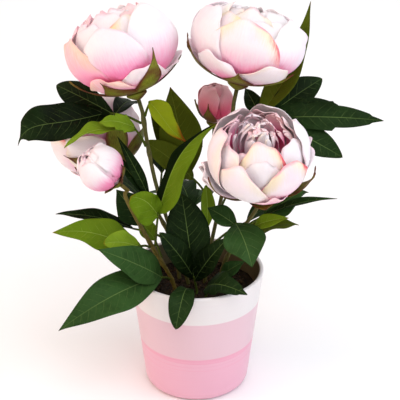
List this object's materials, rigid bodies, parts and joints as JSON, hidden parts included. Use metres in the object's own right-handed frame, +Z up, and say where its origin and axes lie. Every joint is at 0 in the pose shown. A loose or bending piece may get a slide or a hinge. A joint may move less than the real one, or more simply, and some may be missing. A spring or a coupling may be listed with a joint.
{
  "type": "potted flowering plant",
  "caption": "Potted peony with ruffled pink-white blooms, closed buds and lance-shaped leaves in a tapered three-band cover pot.",
  "frame": {"origin": "centre of the pot's flat foot, on the surface it stands on", "axes": "+Z up along the pot's axis, -Y towards the viewer of the picture, +X to the viewer's right"},
  "size_m": [0.3361, 0.2184, 0.3805],
  "materials": {
    "pot": "smooth satin glaze in three bands, white, pale pink and pink, brown inside",
    "soil": "dark crumbly potting mix",
    "stem": "olive green, matte",
    "leaf_dark": "dark green with pale veins, low sheen",
    "leaf_olive": "olive green with veins, low sheen",
    "leaf_light": "light green with veins, low sheen",
    "petal": "soft, white to pale pink, deep pink at the base, with cream and yellow-green tips",
    "calyx": "olive green with brown edges"
  },
  "bodies": {
    "root": {"bloom_a": "petal", "bloom_b": "petal", "bloom_c": "petal", "bloom_d": "petal", "bud_e": "petal", "bud_f": "petal", "calyx_a": "calyx", "calyx_b": "calyx", "calyx_c": "calyx", "calyx_d": "calyx", "calyx_e": "calyx", "calyx_f": "calyx", "leaf_a_back": "leaf_dark", "leaf_a_bract": "leaf_light", "leaf_a_left": "leaf_dark", "leaf_a_light": "leaf_light", "leaf_b_back": "leaf_dark", "leaf_b_right": "leaf_dark", "leaf_b_side": "leaf_dark", "leaf_b_tall": "leaf_olive", "leaf_c_back": "leaf_olive", "leaf_c_folded": "leaf_dark", "leaf_c_light": "leaf_light", "leaf_c_low": "leaf_dark", "leaf_c_right": "leaf_dark", "leaf_d_back": "leaf_dark", "leaf_d_hanging": "leaf_dark", "leaf_d_low": "leaf_dark", "leaf_e_inner": "leaf_dark", "leaf_e_light": "leaf_light", "leaf_e_low": "leaf_dark", "leaf_e_round": "leaf_light", "leaf_e_tall": "leaf_light", "leaf_e_yellow": "leaf_light", "leaf_f_back": "leaf_dark", "leaf_f_centre": "leaf_olive", "leaf_f_light": "leaf_light", "leaf_m_centre": "leaf_dark", "leaf_m_over": "leaf_dark", "leaf_m_rim": "leaf_dark", "pot": "pot", "soil": "soil", "stem_a": "stem", "stem_b": "stem", "stem_c": "stem", "stem_d": "stem", "stem_e": "stem", "stem_f": "stem"}
  },
  "joints": []
}
